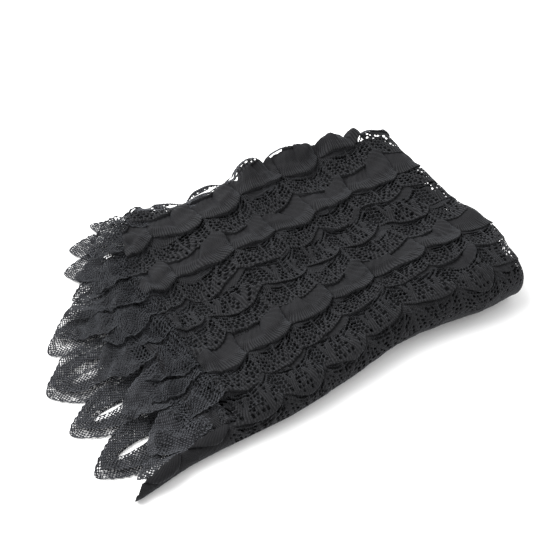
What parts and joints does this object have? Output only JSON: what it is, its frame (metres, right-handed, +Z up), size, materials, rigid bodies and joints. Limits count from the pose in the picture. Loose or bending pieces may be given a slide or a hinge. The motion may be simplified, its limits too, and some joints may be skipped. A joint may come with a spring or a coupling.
{
  "type": "folded lace stole",
  "caption": "Black machine-knitted lace stole with leaf-pointed ends and scalloped selvedges, folded flat into a soft wedge-shaped pack that opens along its long fold",
  "frame": {"origin": "middle of the bounding box, on the surface that the pack lies on", "axes": "+X runs along the long fold from the pointed ends to the cross folds, +Y from the long fold to the selvedges, +Z up"},
  "size_m": [0.3782, 0.28, 0.0499],
  "materials": {
    "lace_knit": "soft matt openwork knit",
    "edge_knit": "soft matt plain knit, thin enough to see light through"
  },
  "bodies": {
    "lower_half": {"lower_border_1": "edge_knit", "lower_border_2": "edge_knit", "lower_border_3": "edge_knit", "lower_border_4": "edge_knit", "lower_corner_centre": "lace_knit", "lower_corner_inner": "lace_knit", "lower_corner_outer": "lace_knit", "lower_fold_centre": "lace_knit", "lower_fold_inner": "lace_knit", "lower_fold_outer": "lace_knit", "lower_panel_1": "lace_knit", "lower_panel_2": "lace_knit", "lower_panel_3": "lace_knit", "lower_panel_4": "lace_knit", "lower_points_3": "edge_knit", "lower_points_4": "edge_knit", "lower_spine_1": "lace_knit", "lower_spine_2": "lace_knit", "lower_spine_3": "lace_knit", "lower_spine_4": "lace_knit"},
    "upper_half": {"upper_border_1": "edge_knit", "upper_border_2": "edge_knit", "upper_border_3": "edge_knit", "upper_border_4": "edge_knit", "upper_corner_centre": "lace_knit", "upper_corner_inner": "lace_knit", "upper_corner_outer": "lace_knit", "upper_fold_centre": "lace_knit", "upper_fold_inner": "lace_knit", "upper_fold_outer": "lace_knit", "upper_panel_1": "lace_knit", "upper_panel_2": "lace_knit", "upper_panel_3": "lace_knit", "upper_panel_4": "lace_knit", "upper_points_3": "edge_knit", "upper_points_4": "edge_knit", "upper_spine_1": "lace_knit", "upper_spine_2": "lace_knit", "upper_spine_3": "lace_knit", "upper_spine_4": "lace_knit"}
  },
  "joints": [
    {"name": "spine_fold", "type": "hinge", "parent": "lower_half", "child": "upper_half", "pos_m": [-0.16981, -0.11578, 0.00649], "axis": [0.9986, 0, 0.0529], "range_deg": [0, 179.5], "deforming": ["lower_corner_centre", "lower_corner_inner", "lower_corner_outer", "lower_spine_1", "lower_spine_2", "lower_spine_3", "lower_spine_4", "upper_corner_centre", "upper_corner_inner", "upper_corner_outer", "upper_spine_1", "upper_spine_2", "upper_spine_3", "upper_spine_4"]}
  ]
}
